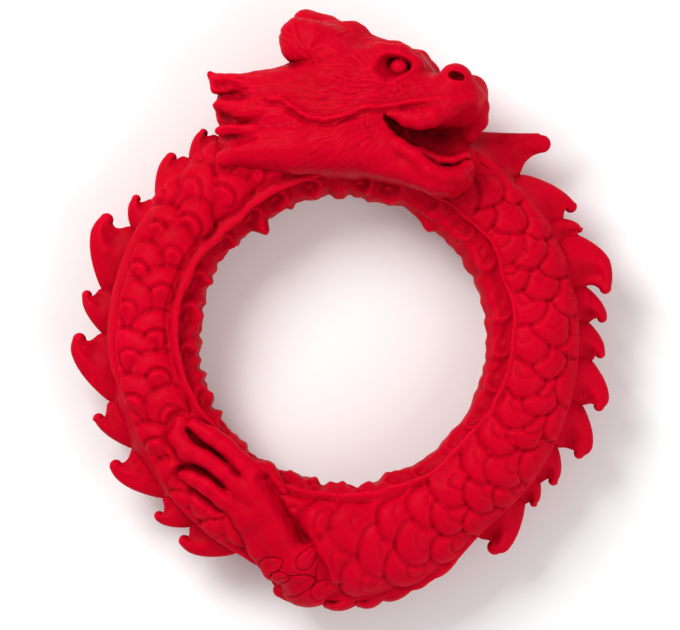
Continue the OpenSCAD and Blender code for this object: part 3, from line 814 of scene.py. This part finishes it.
def head_place(points):
    """Points from the head's frame to the ring's."""
    x, y, z = points.T
    y, z = (y * math.cos(HEAD_ROLL) + z * math.sin(HEAD_ROLL),
            -y * math.sin(HEAD_ROLL) + z * math.cos(HEAD_ROLL))
    x, z = (x * math.cos(HEAD_YAW) - z * math.sin(HEAD_YAW),
            x * math.sin(HEAD_YAW) + z * math.cos(HEAD_YAW))
    return np.stack([x, y, z], axis=-1) + HEAD_POS


def eyeballs(p):
    """Both eyeballs, a little ahead of the middle of their sockets."""
    return ball((p[0], p[1], np.abs(p[2])), EYE[0] + 0.15, EYE[1], EYE_SIDE, EYE_R)


def head_groups(p):
    """A field for each named feature of the head, apart from the eyes and the whisker ridge."""
    near_lip = join(chain(p, NEAR_LIP), chain(p, NEAR_CHOP), 0.8)
    return {
        "skull": join(join(wide(p, SKULL_TOP), wide(p, JOWL), 2.5), wide(p, CHEEK), 2),
        "upper_jaw": join(join(wide(p, MUZZLE), wide(p, PALATE), 0.8),
                          np.minimum(near_lip, chain(p, FAR_LIP)), 0.6),
        "lower_jaw": join(join(wide(p, LOWER_JAW), chain(p, LOWER_LIP), 0.6),
                          chain(p, far(LOWER_LIP)), 0.6),
        "tongue": wide(p, TONGUE),
        "crown_ridge": wide(p, CROWN),
        "brows": np.minimum(chain(p, BROW), chain(p, FAR_BROW)),
        "nostril_wings": np.minimum(ball(p, 24.3, 4.3, 2.2, 2.4), ball(p, 25.4, 3.7, -2.4, 2.2)),
        "ear_near": join(chain(p, NEAR_EAR), chain(p, EAR_LOBE), 1.2),
        "ear_far": chain(p, FAR_EAR),
        "mane_near": np.minimum.reduce([chain(p, lobe) for lobe in MANE]),
        "mane_far": np.minimum.reduce([chain(p, far(lobe)) for lobe in MANE])
    }


def cut_mane(face, x, y, z):
    """Creases and hollows between the mane's locks, a crease under the ear, and a parting behind."""
    side = np.abs(z)
    for line in MANE_CREASES:
        face = face + 0.5 * bump(line_distance(x, y, line), 0.55) * ramp(3, 5, side) * ramp(0.5, -3, x)
    for *middle, lean, length, width in MANE_HOLLOWS:
        u, v = in_line(x, y, middle, lean)
        face = face + np.exp(-(u / length) ** 2 - (v / width) ** 2) * ramp(3, 5, side)
    face = face + 0.3 * bump(line_distance(x, y, EAR_CREASE), 0.5) * ramp(3, 5, side)
    parting = bump(side - 2.2 + 0.5 * noise(y / 3, z / 8, 2.5), 0.7)
    return face + 0.7 * parting * ramp(-3, -5.5, x)


def cut_eyes(face, p, near):
    """Eye sockets, with their lids and eyeballs."""
    x, y, _ = p
    u, v = in_line(x, y, EYE, EYE_TILT)
    almond = np.hypot((u + 0.1) / 2, v / (1.4 - 0.15 * u)) * (1 + 0.1 * noise(x * 1.1, y * 1.1, 3.3))
    face = face + 1.5 * np.exp(-almond ** 4) * near
    lids = bump(almond - 1.3, 0.3) * (0.18 + 0.14 * ramp(-0.4, 0.6, v))
    face = face - lids * near
    # A crease behind the eye's rear corner
    face = face + 0.3 * bump(u + 2.3, 0.7) * bump(v + 0.2, 0.35) * near
    return join(face, eyeballs(p), 0.15)


def cut_nostrils(face, x, y, side):
    """An oval hole on each side of the snout."""
    ex, ey = x - NOSTRIL[0], y - NOSTRIL[1]
    u, v = ex * 0.97 - ey * 0.25, ey * 0.97 + ex * 0.25
    hole = (np.sqrt((u / 1.2) ** 2 + (v / 0.66) ** 2 + ((side - 4.7) / 2.2) ** 2) - 1) * 0.66
    return carve(face, hole, 0.25)


def head_field(p, g):
    """The whole head as one smooth moulding."""
    x, y, z = p
    side = np.abs(z)
    near = ramp(1.5, 3, side)
    face = join(g["skull"], g["upper_jaw"], 1.2)
    face = join(face, g["crown_ridge"], 1.8)
    face = join(face, g["brows"], 0.8)
    face = join(face, g["nostril_wings"], 0.9)
    face = join(face, np.minimum(g["lower_jaw"], chain(p, FAR_WALL)), 0.25)
    # The open mouth: its roof rises towards the near side at the front
    rise = 0.05 + 0.24 * ramp(21, 27, x)
    mouth = wide((x, y - rise * z, z - 3.4), MOUTH)
    face = carve(face, mouth, 0.5)
    rims = np.minimum(chain(p, NEAR_LIP), chain(p, LOWER_LIP))
    face = join(join(face, rims, 0.35), g["tongue"], 0.2)
    face = join(face, g["ear_near"], 0.3 + 1.4 * ramp(4, 8, x + 0.6 * (y - 8)))
    face = join(face, g["ear_far"], 0.6)
    soft = 0.35 + 1.7 * ramp(-6.5, -2.5, x)
    for mane in ("mane_near", "mane_far"):
        face = join(face, g[mane], soft)
    face = cut_mane(face, x, y, z)
    face = cut_eyes(face, p, near)
    face = cut_nostrils(face, x, y, side)
    # The long whisker ridge along the cheek
    ridge = line_distance(x, y, CHEEK_LINE)
    below = bump(ridge - 0.7, 0.35) * ramp(0.3, -0.2, y - np.interp(x, *zip(*CHEEK_LINE)))
    fade = ramp(24, 20, x)
    return face - (0.42 * bump(ridge, 0.45) - 0.3 * below) * near * fade


def hair_lines(x, y, side, centre, fine):
    """Lines that fan out from a centre, and drift with the distance from the head's middle."""
    deep = 0.45 * side
    dx, dy = x - centre[0], y - centre[1]
    away = np.hypot(dx, dy)
    angle = np.arctan2(dy, dx) + 0.06 * noise(x / 2.2, y / 2.2, 5.5) + math.pi / 4
    return noise(angle * fine, away / 1.7, deep) + 0.6 * noise(angle * fine * 1.6, away / 1.3, 8.4 + deep)


def head_detail(points):
    """Fine hair lines over the head, and pits on the lip and under the eye."""
    x, y, z = points.T
    on_ear = ramp(6.4, 5.2, x + 0.25 * (y - 7)) * ramp(6.3, 7.1, y)
    on_crown = ramp(6.2, 7.6, y - 0.15 * x) * ramp(14, 11, x) * (1 - on_ear)
    cheek = ramp(16.5, 12, x) * (1 - on_ear) * (1 - on_crown) * (0.55 + 0.45 * ramp(-6.5, -3.5, y))
    side = np.abs(z)
    hair = (cheek * hair_lines(x, y, side, (21, 2), 44) + 1.2 * on_ear * hair_lines(x, y, side, (12, -2), 32)
            + on_crown * hair_lines(x, y, side, (-1, 1), 34))
    # Strands over the top of the head, and longer locks down its back, between the two manes
    top = ramp(5.5, 8, y) * ramp(3.8, 2.6, side) * ramp(19, 15, x)
    strands = noise(z * 2 + 0.8 * noise(x / 4, y / 4, 6.5), x / 4, y / 4)
    strands = strands + 0.5 * noise(z * 0.9, x / 6, y / 5)
    hair = hair * (1 - top) + 1.3 * top * strands
    back = ramp(-2, -4.5, x) * ramp(4.5, 3, side)
    hair = hair * (1 - back) + 2.2 * back * noise(z * 0.9 + 0.15 * y, y / 5, x / 4)
    depth = 0.15 * hair * (0.7 + 0.3 * noise(x / 2, y / 2, z / 3))
    pits = noise(x * 1.9, y * 1.9, z * 1.9)
    under_eye = bump(x - 18.2, 3.2) * ramp(4.6, 3.8, y) * ramp(1.6, 2.4, y)
    on_lip = bump(x - 18.6, 2.6) * ramp(-1, -0.5, y) * ramp(0.7, 0.2, y)
    corner = bump(x - 14, 1.4) * bump(y + 2, 1.8)
    depth = depth - 0.16 * ramp(0.1, 0.5, pits) * np.clip(under_eye + on_lip + corner, 0, 1)
    return depth + 0.05 * noise(x / 1.4, y / 1.4, z / 1.4) + 0.035 * noise(x * 1.6, y * 1.6, z * 1.6)


def build_head():
    """Meshes the head, one piece a feature."""
    axes = [np.arange(a, b, HEAD_STEP, dtype=np.float32) for a, b in zip(HEAD_LOW, HEAD_HIGH)]
    p = np.meshgrid(*axes, indexing="ij")
    groups = head_groups(p)
    whole = head_field(p, groups)
    groups["eyes"] = eyeballs(p) - 0.3
    ridge = line_distance(p[0], p[1], CHEEK_LINE) - 0.7
    groups["cheek_ridge"] = np.maximum(ridge, 3 - p[2]) - 3
    split_pieces(whole, groups, HEAD_LOW, HEAD_STEP, head_place, head_detail)


build_head()

# ---- legs: the back one mirrors the front one ----
LEG_STEP = 0.17
LEG_LOW, LEG_HIGH = (-25.5, -36.5, 0.5), (1, -8, 9.4)


def leg_groups(p):
    """The forearm and the three toes."""
    toes = [chain(p, toe) for toe in TOES]
    arm = join(join(chain(p, LEG, k=1), chain(p, WRIST), 1.5), chain(p, OUTER_EDGE), 1.2)
    return {"leg": arm, "toes": np.minimum.reduce(toes)}


def leg_detail(points):
    """Tendon lines along the toes, soft unevenness on the arm, and leaf scales over the haunch."""
    x, y, z = points.T
    leaves = np.zeros(len(points))
    for *middle, lean, length, width in HAUNCH_SCALES:
        u, v = in_line(x, y, middle, lean)
        d = np.hypot(u / length, v / (width * (1 - 0.3 * u / length)))
        # A low leaf with a crease round it and a fainter one down its middle
        leaf = 0.13 * np.clip(1 - d ** 3, 0, 1) ** 0.6 * (0.5 + 0.5 * u / length)
        leaf = leaf - 0.22 * bump(d - 1.08, 0.13)
        leaf -= 0.12 * bump(v / width - 0.15, 0.16) * ramp(1, 0.7, d)
        leaves = np.where(d < 1, np.maximum(leaves, leaf), leaves + np.minimum(leaf, 0))
    across = x * 0.62 + y * 0.78
    tendon = 0.06 * noise(across * 2.2, (x - y) / 7, 1.5) * ramp(-13, -15, x)
    rough = 0.12 * noise(x / 1.6, y / 1.6, z / 1.6) + 0.035 * noise(x * 1.4, y * 1.4, z * 1.4)
    return tendon + leaves * ramp(1.4, 3, z) + rough


def build_legs():
    """Meshes the front leg and its toes, and mirrors them to the back."""
    axes = [np.arange(a, b, LEG_STEP, dtype=np.float32) for a, b in zip(LEG_LOW, LEG_HIGH)]
    p = np.meshgrid(*axes, indexing="ij")
    groups = leg_groups(p)
    whole = join(groups["leg"], groups["toes"], 0.3 + 2 * ramp(-16.5, -12, p[0]))
    for line in TOE_GROOVES[:2]:
        whole = whole + 0.38 * bump(line_distance(p[0], p[1], line), 0.45)
    whole = whole + 1.3 * bump(line_distance(p[0], p[1], ARM_HOLLOW), 1.1)
    for side_name, side in (("front", 1), ("back", -1)):
        named = {f"{key}_{side_name}": value for key, value in groups.items()}

        def place(points, side=side):
            return points * np.array([1, 1, side])

        split_pieces(whole, named, LEG_LOW, LEG_STEP, place, leg_detail)


build_legs()

# ---- stage, light and camera ----
FLOOR_GAP = 0.0002          # keeps the floor just clear of the lowest point
lowest = min(cad_low.z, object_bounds()[0].z)
bpy.ops.mesh.primitive_plane_add(size=2.0, location=(0, 0, lowest - FLOOR_GAP))
floor = bpy.context.object
floor.name = "floor"
floor_mat = bpy.data.materials.new("pale_floor")
floor_mat.use_nodes = True
floor_shader = floor_mat.node_tree.nodes["Principled BSDF"]
floor_shader.inputs["Base Color"].default_value = (0.92, 0.92, 0.92, 1)
floor_shader.inputs["Roughness"].default_value = 0.9
floor.data.materials.append(floor_mat)


def add_light(name, place, size, power):
    """A square soft light that faces the ring."""
    data = bpy.data.lights.new(name, "AREA")
    data.size = size
    data.energy = power
    light = bpy.data.objects.new(name, data)
    light.location = place
    light.rotation_euler = (-light.location).to_track_quat("-Z", "Y").to_euler()
    bpy.context.collection.objects.link(light)


add_light("key", (-0.2, 0.22, 0.34), 0.2, 1.6)
add_light("fill", (0.24, -0.16, 0.3), 0.3, 0.62)
world = bpy.data.worlds.new("studio")
world.use_nodes = True
world.node_tree.nodes["Background"].inputs["Color"].default_value = (1, 1, 1, 1)
world.node_tree.nodes["Background"].inputs["Strength"].default_value = 0.49
bpy.context.scene.world = world
bpy.context.scene.view_settings.view_transform = "Standard"

LENS, SENSOR = 600, 36      # a long lens, so that the ring is seen almost without perspective
PHOTO_WIDTH = 0.09144       # how much of the ring's plane the frame spans, side to side
VIEW_CENTRE = (-0.00036, 0.00332)
camera_data = bpy.data.cameras.new("camera")
camera_data.lens = LENS
camera_data.sensor_width = SENSOR
camera = bpy.data.objects.new("camera", camera_data)
bpy.context.collection.objects.link(camera)
camera.location = (*VIEW_CENTRE, PHOTO_WIDTH * LENS / SENSOR)
camera_data.clip_start = 0.01
bpy.context.scene.camera = camera
